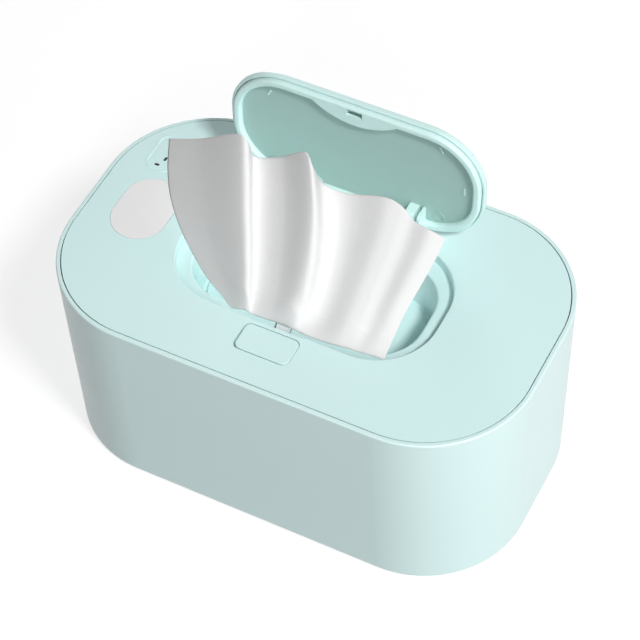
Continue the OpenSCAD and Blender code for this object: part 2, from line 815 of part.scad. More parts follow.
module indicator_lenses() color(dark_plastic) {
    for (p = indicator_spots) translate([p[0], p[1], plate_under - 0.6]) rotate(p[2])
        linear_extrude(cover_t + 0.4)
            stadium(indicator_size[0] - 0.1, indicator_size[1] - 0.1);
}

module contact_pads() color(gold) {
    block([contact_x - 1.7, contact_x + 1.9], [-10, 10], [pads_z(), pads_z() + 1.2]);
}

module pad_cable() color(pale_grey) {
    y = [-4, 4];
    z = plate_under - 0.9;
    x_board = -window_x - display_w / 2;
    block([contact_x + 1.9, x_board + 2], y, [z, z + 0.6]);
    block([x_board + 1.4, x_board + 2], y, [display_z + display_t, z + 0.6]);
    block([contact_x + 1.9, contact_x + 2.5], y, [pads_z(), z + 0.6]);
}

// Latch --------------------------------------------------------------------------

module latch_housing() color(mint_inside) {
    half = housing_l / 2;
    z0 = housing_z;
    z1 = plate_under - 0.2;
    lip = slider_z + slider_t + 0.2;               // the rails' lips hold the slider down
    difference() {
        union() {
            block([-half, half], [housing_front, housing_back], [z0, z0 + housing_t]);
            for (s = [-1, 1]) {
                x = s < 0 ? [-half, -half + housing_wall] : [half - housing_wall, half];
                block(x, [housing_front, housing_back], [z0, z1]);
                rail = s < 0 ? [-9.6, -8.3] : [8.3, 9.6];
                block(rail, [housing_front, housing_back], [z0, lip + 1]);
                over = s < 0 ? [-9.6, -7] : [7, 9.6];
                block(over, [-42, housing_back], [lip, lip + 1]);
                ear = s < 0 ? [-25, -half] : [half, 25];
                block(ear, [-53, -45], [z0, z0 + housing_t]);
            }
            block([-half, half], [housing_front, housing_front + housing_wall], [z0, z1]);
        }
        for (p = latch_screw_spots) rod(p, screw_r + 0.2, z0 - 1, z0 + housing_t + 1);
    }
}

module latch_screws() color(steel) {
    for (p = latch_screw_spots) screw(p, housing_z, true, 6);
}

module button_springs() color(steel) {
    for (p = spring_spots) translate([p[0], p[1], housing_z + housing_t])
        coil(1.7, 0.25, button_flange_z - housing_z - housing_t, 5);
}

module latch_spring() color(steel) {
    translate([0, housing_front + housing_wall, slider_z + slider_t / 2]) rotate([-90, 0, 0])
        coil(1.1, 0.2, slider_front - housing_front - housing_wall, 4);
}

// Push button: a cap, a wide flange that keeps it in, and a wedge that drives the slider
module latch_button() color(mint) {
    wedge_top_y = wedge_foot_y - (button_flange_z - wedge_foot);
    edge = 0.5;
    translate([0, -button_y, 0]) {
        slab(button_l, button_w, button_r, button_flange_top - 0.1, cover_top - edge);
        slab(button_l - 2 * edge, button_w - 2 * edge, button_r - edge, cover_top - edge - 0.1,
            cover_top);
        swept_ring(button_l / 2 - button_r, button_w / 2 - button_r) intersection() {
            translate([button_r - edge, cover_top - edge]) circle(edge);
            translate([button_r - edge, cover_top - edge]) square(edge);
        }
    }
    block([-15, 15], [-53, -37], [button_flange_z, button_flange_top]);
    along_x(-wedge_w / 2, wedge_w / 2) polygon([
        [wedge_top_y, button_flange_z + 0.1], [wedge_back, button_flange_z + 0.1],
        [wedge_back, wedge_foot], [wedge_foot_y, wedge_foot],
        [wedge_top_y, button_flange_z]
    ]);
}

// Slider: a ramp in front of the button's wedge, a window for the wedge, and the hook
module latch_slider() color(pale_grey) {
    half = slider_w / 2;
    face = wedge_foot_y + wedge_foot - ramp_gap;   // the ramp's face is where y + z = face
    window_back = wedge_back + button_travel + 0.5;
    difference() {
        union() {
            block([-half, half], [slider_front, hook_y + hook_t / 2 + 0.3],
                [slider_z, slider_z + slider_t]);
            along_x(-half, half) polygon([
                [slider_front, slider_z], [face - slider_z, slider_z], [face - ramp_top, ramp_top],
                [slider_front, ramp_top]
            ]);
        }
        along_x(-wedge_w / 2 - 0.6, wedge_w / 2 + 0.6) polygon([
            [face - slider_z + 1, slider_z - 1], [window_back, slider_z - 1],
            [window_back, ramp_top + 1], [face - ramp_top - 1, ramp_top + 1]
        ]);
    }
    front = hook_y - hook_t / 2;
    back = hook_y + hook_t / 2;
    along_x(-hook_w / 2, hook_w / 2) polygon([
        [front, slider_z + slider_t - 0.1], [back, slider_z + slider_t - 0.1],
        [back, ledge_z - 2], [back + hook_lean, ledge_z - 0.5],
        [back + hook_lean, hook_top - 1.15], [back + hook_lean + hook_bite, hook_top - 1.15],
        [back + hook_lean, hook_top], [front + hook_lean, hook_top],
        [front + hook_lean, ledge_z - 0.2], [front, ledge_z - 1.7]
    ]);
}

// Hinge and flip lid ----------------------------------------------------------------

module hinge_pins() color(steel) {
    reach = arm_w / 2 + arm_clear + 1.9;
    hinge_spans() translate([-reach, hinge_y, hinge_z]) rotate([0, 90, 0])
        cylinder(h = 2 * reach, r = pin_r);
}

// Torsion spring in the slit of each arm: one leg lies along the lid, the other stands on
// the floor of the hinge's pocket
module lid_springs() color(steel) {
    r = 1.9;
    wire = 0.15;
    leg = 5.5;
    z = [wire, arm_w - arm_block - arm_fin - 0.2 - wire];
    path = concat(
        [[hinge_z - pocket_floor - wire, -r, z[0]]],
        coil_path(r, z[0], z[1], 2, -90),
        [[-leg, -r - leg * cos(open_angle), z[1]]]);
    for (s = [-1, 1]) mirror([s < 0 ? 1 : 0, 0, 0])
        translate([arm_x - arm_w / 2 + arm_block + 0.1, hinge_y, hinge_z]) rotate([0, 90, 0])
            wire_along(path, wire);
}

module lid_skin() color(mint) {
    open_lid() translate([0, lid_y, 0]) {
        core(lid_cx, lid_cy, lid_r - flange_w, skin_under, cover_top);
        swept_ring(lid_cx, lid_cy) skin_profile();
    }
}

module skin_profile() {
    inner = lid_r - flange_w;
    tip = 0.4;
    union() {
        polygon([
            [inner, cover_top], [lid_r - skin_round, cover_top], [lid_r, cover_top - skin_round],
            [lid_r, cover_top - flange_d + tip], [lid_r - tip, cover_top - flange_d],
            [inner, cover_top - flange_d]
        ]);
        translate([lid_r - skin_round, cover_top - skin_round]) intersection() {
            circle(skin_round);
            square(skin_round);
        }
    }
}

module lid_liner() color(mint) {
    open_lid() difference() {
        union() {
            translate([0, lid_y, 0]) {
                core(lid_cx, lid_cy, ring_out, liner_under, skin_under);
                swept_ring(lid_cx, lid_cy) ring_profile();
            }
            catch_crescent();
            for (s = [-1, 1]) mirror([s < 0 ? 1 : 0, 0, 0]) lid_arm();
            lid_lugs();
        }
        // slot and pocket that the latch's hook enters
        block([-catch_slot[0] / 2, catch_slot[0] / 2],
            [catch_slot_y - catch_slot[1] / 2, catch_slot_y + catch_slot[1] / 2],
            [ring_bottom - 1, liner_under]);
        block([-catch_slot[0] / 2, catch_slot[0] / 2],
            [catch_slot_y - catch_slot[1] / 2, hook_y + hook_lean + hook_t / 2 + hook_bite + 0.5],
            [ring_bottom + catch_floor, liner_under]);
        hinge_spans() translate([-20, hinge_y, hinge_z]) rotate([0, 90, 0])
            cylinder(h = 40, r = pin_r + pin_clear);
    }
}

// Rounded ring that stands down from the liner into the cover's recess
module ring_profile() {
    round_r = 1.3;
    inner = ring_out - ring_w;
    polygon([
        [inner, liner_under + 0.1], [inner, ring_bottom + round_r],
        [inner + round_r, ring_bottom], [ring_out - round_r, ring_bottom],
        [ring_out, ring_bottom + round_r], [ring_out, liner_under + 0.1]
    ]);
    for (x = [inner + round_r, ring_out - round_r])
        translate([x, ring_bottom + round_r]) circle(round_r);
}

module catch_crescent() {
    middle_y = catch_edge + catch_rise - catch_r;
    translate([0, 0, ring_bottom]) linear_extrude(liner_under - ring_bottom + 0.1)
        intersection() {
            translate([0, middle_y]) circle(catch_r);
            translate([-catch_half - 3, catch_edge - 2.2]) square([2 * catch_half + 6, 12]);
        }
}

// Hinge arm: a thick leaf and a thin fin, joined at the lid, both on the pin
module lid_arm() {
    x0 = arm_x - arm_w / 2;
    for (x = [[x0, x0 + arm_block], [x0 + arm_w - arm_fin, x0 + arm_w]])
        along_x(x[0], x[1]) arm_profile();
    along_x(x0, x0 + arm_w) polygon([
        [hinge_y - arm_reach + 3, hinge_z - arm_under + 3], [hinge_y - 14, hinge_z],
        [hinge_y - 14, liner_under + 0.1], [hinge_y - arm_reach + 3, liner_under + 0.1]
    ]);
}

module arm_profile() {
    nose = 2.4;
    front = hinge_y - arm_reach;
    low = hinge_z - arm_under;
    translate([hinge_y, hinge_z]) circle(eye_r);
    polygon([
        [hinge_y, low + 0.1], [front + nose, low], [front, low + nose],
        [front, liner_under + 0.1], [front + 9, liner_under + 0.1], [front + 11.5, ring_bottom],
        [front + 13, hinge_z + arm_over], [hinge_y, hinge_z + arm_over]
    ]);
    translate([front + nose, low + nose]) circle(nose);
}

// Small moulded lugs and pin marks on the lid's underside
module lid_lugs() {
    for (p = [[-42.9, -21.9], [41.2, -23.1], [52.8, -2.2], [-18.7, 22]])
        translate([p[0], p[1], liner_under - 0.5]) rotate(atan2(p[1], p[0]) + 90)
            translate([-2, -0.4, 0]) cube([4, 0.8, 0.6]);
    for (x = [-41.1, 41.1]) translate([x, 19.1, liner_under - 0.3]) difference() {
        cylinder(h = 0.4, r = 2.6);
        translate([0, 0, -1]) cylinder(h = 1.3, r = 2);
    }
}

// Wipe -------------------------------------------------------------------------------

// Stations up the sheet: y, z, left edge, right edge, how strongly it is pleated, how far its
// left part is squeezed, and how far its right edge is set back to the rear
wipe_stations = [
    [-5, 70, -29, 31, 0, 0, 0], [-5.1, 79, -29, 31, 0, 0, 0],
    [-5.6, 82.9, -29, 31.5, 0, 0, 0], [-8.4, 85.4, -29, 34, 0, 0.2, 1],
    [-15, 90.5, -28, 40, 0.02, 0.5, 2], [-21, 98.5, -26, 45, 0.05, 0.8, 2.5],
    [-26, 104.6, -24.5, 48, 0.08, 1, 3], [-33, 105.4, -23.5, 49.8, 0.1, 1, 3],
    [-31.4, 110, -30, 50.7, 0.3, 0.66, 2.5], [-28.5, 112.5, -37.2, 51.2, 0.4, 0.36, 2.2],
    [-25.5, 115, -43, 51.6, 0.5, 0.16, 2], [-17.5, 124, -56.1, 53.4, 0.68, -0.15, 1],
    [-9, 134, -66, 56.5, 0.82, -0.22, 0], [-1, 144, -71.2, 59.6, 0.92, -0.15, 0],
    [7, 154, -74, 62, 1, 0, 0]
];
// Pleats across the sheet: share of the width from the left, depth to the rear, and how far
// the sheet is pulled up and forward there, so that its top edge has peaks
wipe_pleats = [
    [0, 0, -7], [0.1, 5, -0.3], [0.213, 13, 10], [0.257, 11, 8.7], [0.294, 6, 0.5],
    [0.375, 10, 3.2], [0.441, 16, 10.5], [0.485, 11, 7.5], [0.53, 6, -0.2], [0.59, 4, -4],
    [0.647, 5, -4], [0.75, 9, -0.8], [0.81, 8, 0], [0.875, 3, -3.2], [0.94, 1.2, -5.6],
    [1, 0, -8.4]
];
wipe_squeeze = [[0, 0], [0.257, -0.151], [0.507, -0.091], [0.863, -0.048], [1, 0]];
wipe_pull = [0.56, -1, 1.45];
// The middle crease bows to the right: share of its bow across the sheet, how far that is of
// the width, and the station it starts from
wipe_bow = [[0, 0], [0.294, 0], [0.38, 0.45], [0.485, 1], [0.6, 0.75], [0.75, 0.2], [1, 0]];
bow_width = 0.06;
bow_from = 6;
wipe_cols = 40;
wipe_rows = len(wipe_stations) - 1;

function smooth(t) = let (q = min(max(t, 0), 1)) q * q * (3 - 2 * q);

// Smooth curve through points across the sheet: value k of each at its share of the width
function slope(points, i, k) =
    let (a = points[max(i - 1, 0)], b = points[min(i + 1, len(points) - 1)])
    (b[k] - a[k]) / (b[0] - a[0]);

function curve(points, u, k = 1, i = 0) =
    u > points[i + 1][0] && i < len(points) - 2 ? curve(points, u, k, i + 1)
    : let (a = points[i], b = points[i + 1], h = b[0] - a[0], t = (u - a[0]) / h)
        a[k] + (b[k] - a[k]) * t * t * (3 - 2 * t)
            + h * t * (1 - t) * (slope(points, i, k) * (1 - t) - slope(points, i + 1, k) * t);

// Catmull-Rom curve through the stations, t counted in stations
function station(t) =
    let (n = len(wipe_stations) - 1, i = min(floor(t), n - 1), f = t - i,
        a = wipe_stations[max(i - 1, 0)], b = wipe_stations[i], c = wipe_stations[i + 1],
        d = wipe_stations[min(i + 2, n)])
    0.5 * (2 * b + (c - a) * f + (2 * a - 5 * b + 4 * c - d) * f * f
        + (3 * b - a - 3 * c + d) * f * f * f);

function wipe_point(u, t) =
    let (s = station(t), rise = max(t - bow_from, 0) / (len(wipe_stations) - 1 - bow_from),
        across = u + s[5] * curve(wipe_squeeze, u)
            + bow_width * sin(180 * min(pow(rise, 1.4), 1)) * curve(wipe_bow, u))
    [s[2] + (s[3] - s[2]) * across,
        s[0] + s[4] * curve(wipe_pleats, u) + s[6] * (1 - smooth((1 - u) / 0.3)), s[1]]
        + s[4] * curve(wipe_pleats, u, 2) * wipe_pull;

function unit(v) = v / norm(v);

function wipe_skin(side) = [for (j = [0:wipe_rows], i = [0:wipe_cols])
    let (top = len(wipe_stations) - 1, u = i / wipe_cols, t = j * top / wipe_rows, e = 0.01,
        across = wipe_point(min(u + e, 1), t) - wipe_point(max(u - e, 0), t),
        up = wipe_point(u, min(t + e, top)) - wipe_point(u, max(t - e, 0)))
    wipe_point(u, t) + side * wipe_t / 2 * unit(cross(across, up))];

module wipe_sheet() color(tissue) {
    row = wipe_cols + 1;
    back = row * (wipe_rows + 1);
    cells = [for (j = [0:wipe_rows - 1], i = [0:wipe_cols - 1]) j * row + i];
    edge = concat(
        [for (i = [0:wipe_cols]) i],
        [for (j = [1:wipe_rows]) j * row + wipe_cols],
        [for (i = [1:wipe_cols]) wipe_rows * row + wipe_cols - i],
        [for (j = [1:wipe_rows - 1]) (wipe_rows - j) * row]);
    faces = concat(
        [for (p = cells) each [[p, p + 1, p + row + 1], [p, p + row + 1, p + row]]],
        [for (p = cells) each [[back + p, back + p + row + 1, back + p + 1],
            [back + p, back + p + row, back + p + row + 1]]],
        [for (k = [0:len(edge) - 1]) let (a = edge[k], b = edge[(k + 1) % len(edge)])
            each [[a, back + a, back + b], [a, back + b, b]]]);
    polyhedron(concat(wipe_skin(-1), wipe_skin(1)), faces);
}

body_shell();
base_plate();
rubber_feet();
base_screws();
inner_tub();
tub_screws();
heat_spreader();
heater_film();
insulation_pad();
temperature_sensor();
thermal_fuse();
heater_leads();
control_board();
board_components();
board_screws();
power_inlet();
inlet_bezel();
ribbon_cable();
contact_block();
contact_pins();
top_cover();
cover_liner();
liner_screws();
cover_gasket();
dispensing_plate();
slot_ring();
display_window();
display_board();
digit_display();
touch_spring();
display_screws();
indicator_lenses();
contact_pads();
pad_cable();
latch_housing();
latch_screws();
button_springs();
latch_spring();
hinge_pins();
wipe_sheet();
latch_button();
latch_slider();
lid_skin();
lid_liner();
lid_springs();
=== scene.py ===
"""Baby wipe warmer with its flip lid open and a wipe pulled up through the slot: the finishes of
its pieces, the wipe, the light and the camera, in metres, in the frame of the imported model."""
import json
import math

import bmesh
import bpy
from mathutils import Matrix, Vector


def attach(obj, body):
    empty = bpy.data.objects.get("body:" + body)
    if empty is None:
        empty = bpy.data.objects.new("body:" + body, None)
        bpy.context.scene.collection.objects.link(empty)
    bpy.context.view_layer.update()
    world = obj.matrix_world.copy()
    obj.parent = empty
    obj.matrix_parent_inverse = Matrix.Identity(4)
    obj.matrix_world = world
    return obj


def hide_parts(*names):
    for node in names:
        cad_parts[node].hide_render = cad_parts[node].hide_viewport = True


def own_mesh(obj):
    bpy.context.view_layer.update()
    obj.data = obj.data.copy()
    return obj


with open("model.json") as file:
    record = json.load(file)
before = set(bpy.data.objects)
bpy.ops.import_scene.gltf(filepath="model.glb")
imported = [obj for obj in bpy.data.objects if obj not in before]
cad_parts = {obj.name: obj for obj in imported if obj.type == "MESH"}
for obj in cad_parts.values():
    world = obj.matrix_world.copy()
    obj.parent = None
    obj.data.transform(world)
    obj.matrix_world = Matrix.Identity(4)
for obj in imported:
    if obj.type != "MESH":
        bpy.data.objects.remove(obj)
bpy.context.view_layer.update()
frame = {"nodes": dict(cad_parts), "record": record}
NODES = frame["nodes"]
JOINTS = {joint["name"]: joint for joint in frame["record"]["behaviour"]["joints"]}
MM = 0.001

# Camera, solved from the photograph
CAMERA_PLACE = (0.32788, -0.58014, 0.91329)
CAMERA_RIGHT = (0.89071, 0.45342, -0.03235)
CAMERA_UP = (-0.33798, 0.70817, 0.61989)
CAMERA_BACK = (0.30398, -0.54121, 0.78402)
LENS_MM = 132.19
SENSOR_MM = 36.0
NEAR_CLIP = 0.05

# Lid as it stands open: its hinge, the way its outer side faces, and how far behind the hinge,
# along that way, the panel of its inner side begins, whose colour carries painted shade
HINGE = Vector(JOINTS["lid_hinge"]["pos_m"])
OPEN_ANGLE = math.radians(JOINTS["lid_hinge"]["range_deg"][1])
LID_NORMAL = Vector((0.0, math.sin(OPEN_ANGLE), math.cos(OPEN_ANGLE)))
PANEL_DEPTH = 0.0042

# Etched track of the heater: half pitches of its lines per metre, the share of each that is left
# bare, and how far the track reaches to either side
TRACK_HALVES = 290.0
TRACK_BARE = 0.42
TRACK_REACH = 0.082

# Light: square lamps that face AIM, each with its place, size and watts. The key is above the
# front right, the fill low at the right, the front lamp softens the case's front, and the back
# lamp is low and only for the rear
AIM = Vector((0.0, 0.0, 0.09))
LAMPS = {
    "key": ((1.037, -0.559, 1.706), 0.32, 27.8),
    "fill": ((1.6, -0.45, 0.4), 0.9, 10.2),
    "front": ((0.55, -1.2, 1.15), 0.4, 6.6),
    "back": ((-1.0, 1.6, 0.3), 0.5, 14.0),
}
SKY_STRENGTH = 0.14
FLOOR_SIZE = 6.0
FLOOR_TONE = 0.34
FLOOR_GLOW = 0.73

# Wipe, in millimetres, as in the part's source. Stations up the sheet: y, z, left edge, right
# edge, strength of the pleats, squeeze of its left part, and how far its right edge is set back
WIPE_STATIONS = (
    (-5, 70, -29, 31, 0, 0, 0), (-5.1, 79, -29, 31, 0, 0, 0),
    (-5.6, 82.9, -29, 31.5, 0, 0, 0), (-8.4, 85.4, -29, 34, 0, 0.2, 1),
    (-15, 90.5, -28, 40, 0.02, 0.5, 2), (-21, 98.5, -26, 45, 0.05, 0.8, 2.5),
    (-26, 104.6, -24.5, 48, 0.08, 1, 3), (-33, 105.4, -23.5, 49.8, 0.1, 1, 3),
    (-31.4, 110, -30, 50.7, 0.3, 0.66, 2.5), (-28.5, 112.5, -37.2, 51.2, 0.4, 0.36, 2.2),
    (-25.5, 115, -43, 51.6, 0.5, 0.16, 2), (-17.5, 124, -56.1, 53.4, 0.68, -0.15, 1),
    (-9, 134, -66, 56.5, 0.82, -0.22, 0), (-1, 144, -71.2, 59.6, 0.92, -0.15, 0),
    (7, 154, -74, 62, 1, 0, 0),
)
# Tables across the sheet, by the share of its width from the left: how deep the pleats go to the
# rear, how far it is pulled along WIPE_PULL, which gives its top edge peaks, and how its left part
# is squeezed together. Its right edge is set back over SET_BACK_SHARE of the width
WIPE_PLEATS = (
    (0, 0), (0.1, 5), (0.213, 13), (0.257, 11), (0.294, 6), (0.375, 10), (0.441, 16),
    (0.485, 11), (0.53, 6), (0.59, 4), (0.647, 5), (0.75, 9), (0.81, 8), (0.875, 3),
    (0.94, 1.2), (1, 0),
)
WIPE_PEAKS = (
    (0, -7), (0.1, -0.3), (0.213, 10), (0.257, 8.7), (0.294, 0.5), (0.375, 3.2), (0.441, 10.5),
    (0.485, 7.5), (0.53, -0.2), (0.59, -4), (0.647, -4), (0.75, -0.4), (0.81, -1.4),
    (0.875, -4.8), (0.94, -5.3), (1, -7.8),
)
WIPE_SQUEEZE = ((0, 0), (0.257, -0.151), (0.507, -0.091), (0.863, -0.048), (1, 0))
WIPE_PULL = Vector((0.56, -1, 1.45))
SET_BACK_SHARE = 0.3
# The middle crease bows to the right: share of its bow across the sheet, how far that is of the
# width, the station it starts from, and how late its middle comes
WIPE_BOW = ((0, 0), (0.294, 0), (0.38, 0.45), (0.485, 1), (0.6, 0.75), (0.75, 0.2), (1, 0))
BOW_WIDTH = 0.06
BOW_FROM = 6
BOW_LATE = 1.4
# Fine gathers in and below the slot, which fade between two stations
GATHER_FOLDS = 14
GATHER_DEPTH = 2.4
GATHER_FADES = (2.0, 5.6)
WIPE_THICK = 0.5 * MM
WIPE_COLUMNS = 200
WIPE_ROWS = 120
# Metres: the wipe's width and how much of its length stands out of the slot. The modelled
# sheet's area is less than theirs, because it lacks width between slot and top
WIPE_FLAT = (0.180, 0.130)


def tone(red, green, blue):
    """A colour given as it looks on a screen, 0 to 255, as the shader wants it."""
    def linear(value):
        share = value / 255
        return share / 12.92 if share <= 0.04045 else ((share + 0.055) / 1.055) ** 2.4
    return (linear(red), linear(green), linear(blue), 1.0)


class Socket:
    """An output socket of a material's nodes. Arithmetic on it adds Math nodes."""

    def __init__(self, tree, output=None):
        self.tree = tree
        self.output = output

    def node(self, kind, settings=None, sockets=None, out=0):
        """Any node: its settings are set first, then its sockets are given values or links. The
        result is the output that out names or counts, or None where the node has none."""
        made = self.tree.nodes.new(kind)
        for name, value in (settings or {}).items():
            setattr(made, name, value)
        for name, value in (sockets or {}).items():
            target = next(s for s in made.inputs if name in (s.identifier, s.name) and s.enabled)
            if isinstance(value, Socket):
                self.tree.links.new(value.output, target)
            else:
                target.default_value = value
        if not made.outputs:
            return None
        found = made.outputs[out] if isinstance(out, int) else next(
            s for s in made.outputs if out in (s.identifier, s.name) and s.enabled)
        return Socket(self.tree, found)

    def math(self, operation, *values):
        return self.node("ShaderNodeMath", {"operation": operation},
                         dict(zip(("Value", "Value_001"), values)))

    def __add__(self, other):
        return self.math("ADD", self, other)

    __radd__ = __add__

    def __sub__(self, other):
        return self.math("SUBTRACT", self, other)

    def __rsub__(self, other):
        return self.math("SUBTRACT", other, self)

    def __mul__(self, other):
        return self.math("MULTIPLY", self, other)

    __rmul__ = __mul__

    def __gt__(self, other):
        return self.math("GREATER_THAN", self, other)

    def __lt__(self, other):
        return self.math("LESS_THAN", self, other)

    def wave(self, times):
        """Goes from 0 to 1 or back again, so many times per metre."""
        return self.math("PINGPONG", self * times, 1.0)

    def clip(self):
        return self.math("MINIMUM", self.math("MAXIMUM", self, 0.0), 1.0)

    def stretched(self, x, y, z):
        return self.node("ShaderNodeMapping", {}, {"Vector": self, "Scale": (x, y, z)})

    def axis(self, letter):
        return self.node("ShaderNodeSeparateXYZ", {}, {"Vector": self}, letter)

    def noise(self, scale, detail=2.0, rough=0.5, bend=0.0):
        return self.node("ShaderNodeTexNoise", {}, {
            "Vector": self, "Scale": scale, "Detail": detail, "Roughness": rough,
            "Distortion": bend}, "Fac")

    def cells(self, scale):
        return self.node("ShaderNodeTexVoronoi", {}, {"Vector": self, "Scale": scale}, "Distance")

    def blend(self, first, second):
        """Mixes two colours, with this socket as the share of the second."""
        return self.node("ShaderNodeMix", {"data_type": "RGBA"}, {
            "Factor_Float": self, "A_Color": first, "B_Color": second}, "Result_Color")

    def bump(self, strength, height):
        return self.node("ShaderNodeBump", {}, {
            "Strength": strength, "Distance": height, "Height": self}, "Normal")


def start(name, source="Object"):
    """A new material and the coordinates that its pattern reads."""
    material = bpy.data.materials.new(name)
    material.use_nodes = True
    material.node_tree.nodes.clear()
    root = Socket(material.node_tree)
    return material, root.node("ShaderNodeTexCoord", {}, {}, source)


def end(material, where, **sockets):
    """Joins the surface's values to one Principled shader and the material's output."""
    named = {key.replace("_", " ").title().replace("Ior", "IOR"): value
             for key, value in sockets.items()}
    shader = where.node("ShaderNodeBsdfPrincipled", {}, named)
    where.node("ShaderNodeOutputMaterial", {}, {"Surface": shader})
    return material


def moulded(name, light, dark, rough, grain=0.05, grain_scale=2600.0):
    """Moulded plastic: slow drifts of colour, fine pigment specks, a spark-eroded grain in the
    surface, and faint rubbed patches where its gloss differs."""
    material, place = start(name)
    drift = place.noise(7.0, 3.0)
    specks = place.noise(1400.0, 1.0)
    colour = (0.75 * drift + 0.25 * specks).blend(light, dark)
    rubbed = place.noise(22.0, 6.0, 0.6, 1.2)
    gloss = rough - 0.04 + 0.08 * rubbed
    skin = place.noise(grain_scale, 2.0) + 0.5 * place.noise(grain_scale * 0.35, 1.0)
    return end(material, place, base_color=colour, roughness=gloss,
               normal=skin.bump(grain, 0.0002))


def mint_cover():
    return moulded("mint_cover", tone(207, 234, 233), tone(202, 231, 230), 0.40)


def mint_case():
    return moulded("mint_case", tone(209, 233, 232), tone(204, 230, 229), 0.30, 0.035)


def mint_lid():
    return moulded("mint_lid", tone(206, 234, 232), tone(201, 231, 228), 0.34, 0.03)


def mint_liner():
    """The lid's inner side: a polished ring, and a deeper, coarse matt panel whose colour is darkened
    as painted shade of its recess. The panel is what lies farther than PANEL_DEPTH behind the hinge."""
    material, place = start("mint_liner")
    depth = place.node("ShaderNodeVectorMath", {"operation": "DOT_PRODUCT"}, {
        "Vector": place, "Vector_001": LID_NORMAL}, "Value")
    panel = depth > LID_NORMAL.dot(HINGE) + PANEL_DEPTH
    drift = place.noise(9.0, 3.0)
    ring = drift.blend(tone(208, 236, 233), tone(203, 233, 230))
    texture = place.noise(1300.0, 3.0, 0.6)
    # Painted shade: the panel's darker mint stands for the shade in its recess; its roughness and
    # texture are real
    matt = (0.6 * drift + 0.4 * texture).blend(tone(166, 195, 190), tone(156, 186, 181))
    rubbed = place.noise(24.0, 5.0, 0.6, 1.0)
    return end(material, place, base_color=panel.blend(ring, matt),
               roughness=0.32 + 0.06 * rubbed + 0.24 * panel,
               normal=(0.15 * texture + panel * texture).bump(0.1, 0.0002))


def mint_inside():
    return moulded("mint_inside", tone(196, 224, 220), tone(189, 219, 214), 0.55, 0.08, 1500.0)


def pale_window():
    """Touch window: smooth satin grey with a faint haze under its gloss."""
    material, place = start("pale_window")
    haze = place.noise(30.0, 3.0)
    colour = haze.blend(tone(232, 230, 231), tone(227, 225, 226))
    wiped = place.stretched(1.0, 4.0, 1.0).noise(60.0, 4.0, 0.6, 0.8)
    return end(material, place, base_color=colour, roughness=0.3 + 0.08 * wiped,
               normal=place.noise(1800.0, 1.0).bump(0.02, 0.0001),
               coat_weight=0.3, coat_roughness=0.15)


def dark_moulding():
    return moulded("dark_moulding", tone(38, 44, 44), tone(28, 33, 33), 0.42, 0.06, 1800.0)


def white_moulding():
    return moulded("white_moulding", tone(233, 233, 234), tone(225, 226, 227), 0.45, 0.05, 1800.0)


def soft_silicone():
    """Pale silicone: dusty, slightly translucent."""
    material, place = start("soft_silicone")
    dust = place.noise(420.0, 4.0, 0.65)
    colour = dust.blend(tone(236, 241, 239), tone(224, 232, 229))
    return end(material, place, base_color=colour, roughness=0.5 + 0.15 * dust,
               normal=place.noise(1500.0, 2.0).bump(0.08, 0.0002),
               subsurface_weight=0.15, subsurface_radius=(0.004, 0.004, 0.004))


def foot_rubber():
    material, place = start("foot_rubber")
    wear = place.noise(260.0, 5.0, 0.6)
    colour = wear.blend(tone(66, 69, 69), tone(92, 95, 95))
    return end(material, place, base_color=colour, roughness=0.75 + 0.15 * wear,
               normal=place.noise(1700.0, 3.0).bump(0.25, 0.0003))


def drawn_steel():
    """Bright steel with fine drawing lines."""
    material, place = start("drawn_steel")
    lines = place.stretched(1.0, 1.0, 14.0).noise(700.0, 3.0)
    colour = lines.blend(tone(214, 215, 218), tone(196, 198, 201))
    return end(material, place, base_color=colour, metallic=1.0, roughness=0.24 + 0.16 * lines,
               normal=lines.bump(0.05, 0.0001))


def rolled_aluminium():
    material, place = start("rolled_aluminium")
    rolled = place.stretched(0.05, 1.0, 1.0).noise(900.0, 4.0)
    cloud = place.noise(16.0, 3.0)
    colour = cloud.blend(tone(224, 226, 229), tone(210, 213, 216))
    return end(material, place, base_color=colour, metallic=1.0, roughness=0.32 + 0.2 * rolled,
               normal=rolled.bump(0.06, 0.0001))


def heater_laminate():
    """Amber film with an etched heating track that runs to and fro below its gloss."""
    material, place = start("heater_laminate")
    track = place.axis("Y").wave(TRACK_HALVES) > TRACK_BARE
    margin = place.axis("X").math("ABSOLUTE", place.axis("X")) > TRACK_REACH
    colour = (track * (1 - margin)).blend(tone(214, 150, 70), tone(188, 112, 52))
    film = place.noise(60.0, 3.0)
    return end(material, place, base_color=colour, roughness=0.22 + 0.12 * film,
               normal=track.bump(0.1, 0.0001))


def closed_foam():
    material, place = start("closed_foam")
    bubbles = place.cells(900.0)
    colour = (0.8 * bubbles + 0.2 * place.noise(40.0)).blend(tone(240, 240, 234), tone(222, 222, 214))
    return end(material, place, base_color=colour, roughness=0.85 + 0.1 * bubbles,
               normal=bubbles.bump(0.5, 0.0005))


def solder_mask():
    """Circuit board: green lacquer over tracks that stop and start, with small bright lands."""
    material, place = start("solder_mask")
    rows = place.axis("Y").wave(700.0) > 0.62
    gaps = place.stretched(0.25, 1.0, 1.0).noise(160.0, 1.0) > 0.48
    tracks = rows * gaps
    lands = place.cells(330.0) < 0.16
    green = tracks.blend(tone(32, 96, 60), tone(54, 128, 82))
    colour = lands.blend(green, tone(205, 190, 140))
    return end(material, place, base_color=colour, roughness=0.34 - 0.08 * lands,
               metallic=0.6 * lands, normal=(tracks + lands).bump(0.15, 0.0001))


def gold_plate():
    material, place = start("gold_plate")
    fine = place.noise(900.0, 3.0)
    colour = fine.blend(tone(233, 200, 118), tone(214, 178, 96))
    return end(material, place, base_color=colour, metallic=1.0, roughness=0.22 + 0.12 * fine,
               normal=fine.bump(0.04, 0.0001))


